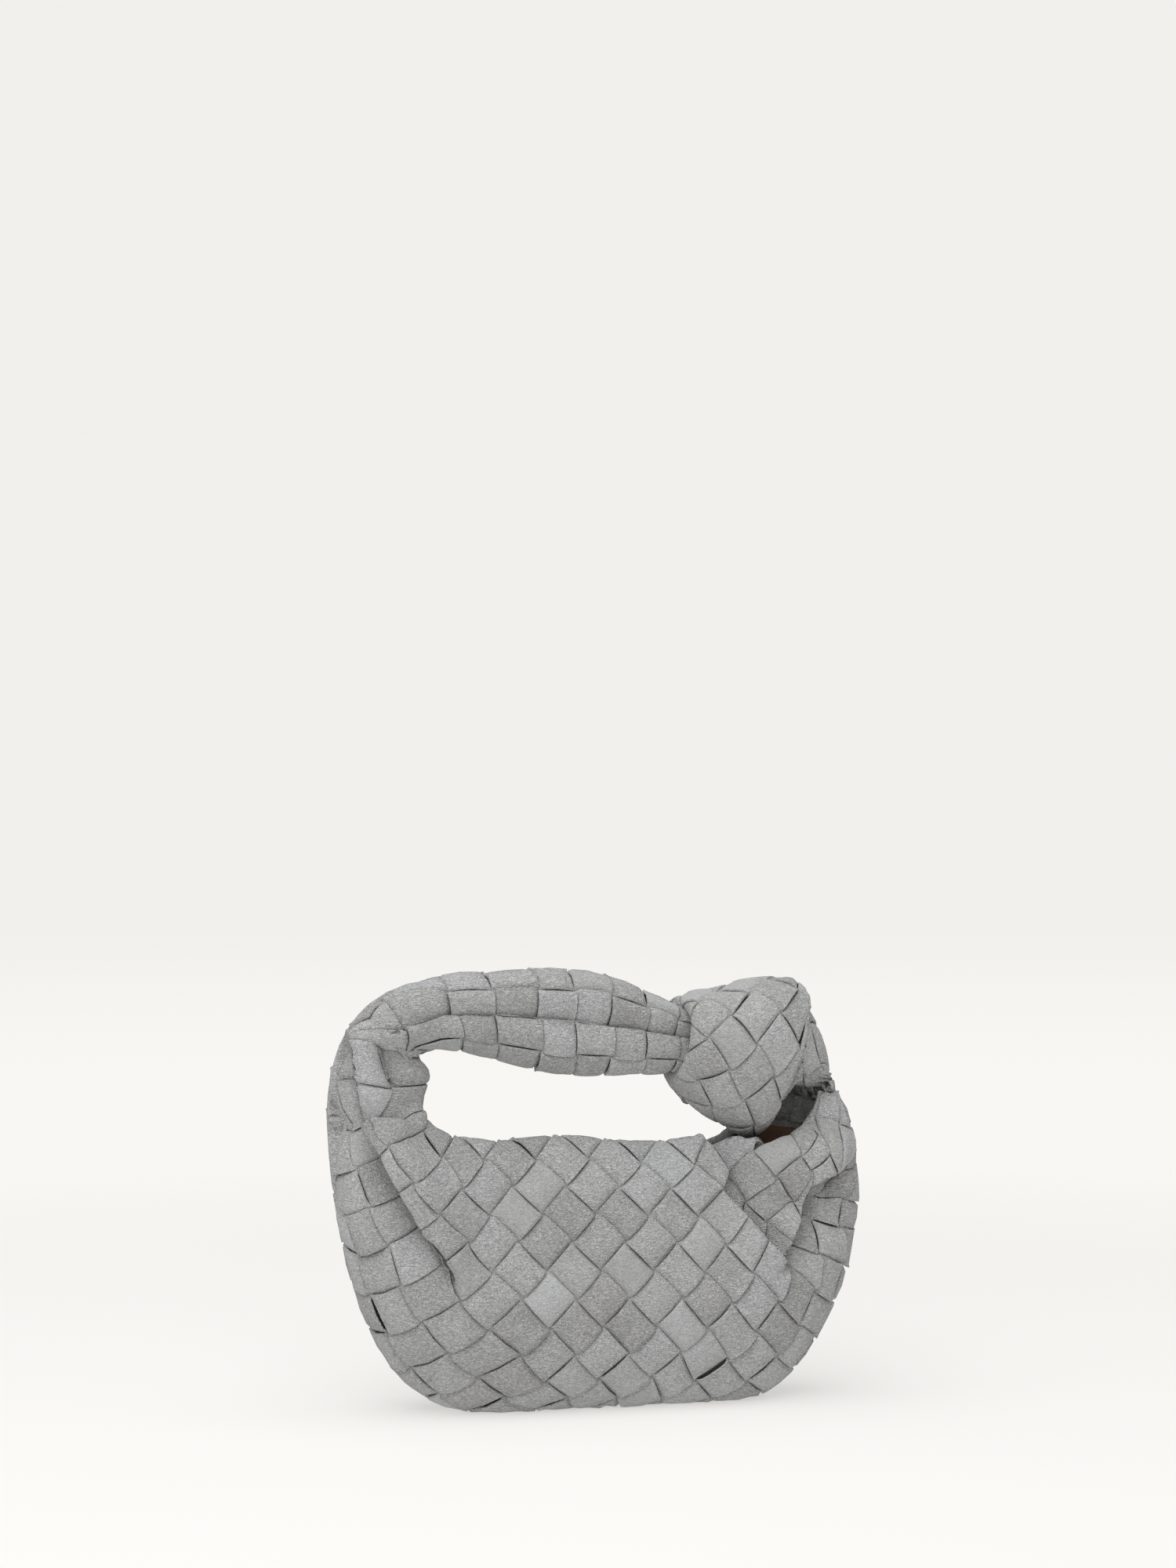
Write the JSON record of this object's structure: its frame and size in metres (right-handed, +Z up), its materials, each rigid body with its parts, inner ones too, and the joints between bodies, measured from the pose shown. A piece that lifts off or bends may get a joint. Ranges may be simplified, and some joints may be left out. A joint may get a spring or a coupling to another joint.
{
  "type": "knotted hobo bag",
  "caption": "Small half-moon hobo bag of woven grey suede strips, whose left neck arches over as a folded handle and ties in a knot above the right end of the open mouth.",
  "frame": {"origin": "centre of the bag's box, on the surface that it stands on", "axes": "+X along the bag from the left neck towards the knot, +Y towards the back, +Z up"},
  "size_m": [0.2, 0.061, 0.1585],
  "materials": {
    "suede": "napped suede, matte",
    "lining": "smooth lining leather, matte"
  },
  "bodies": {
    "root": {"pouch": "suede", "handle": "suede", "knot": "suede", "lining": "lining"}
  },
  "joints": []
}
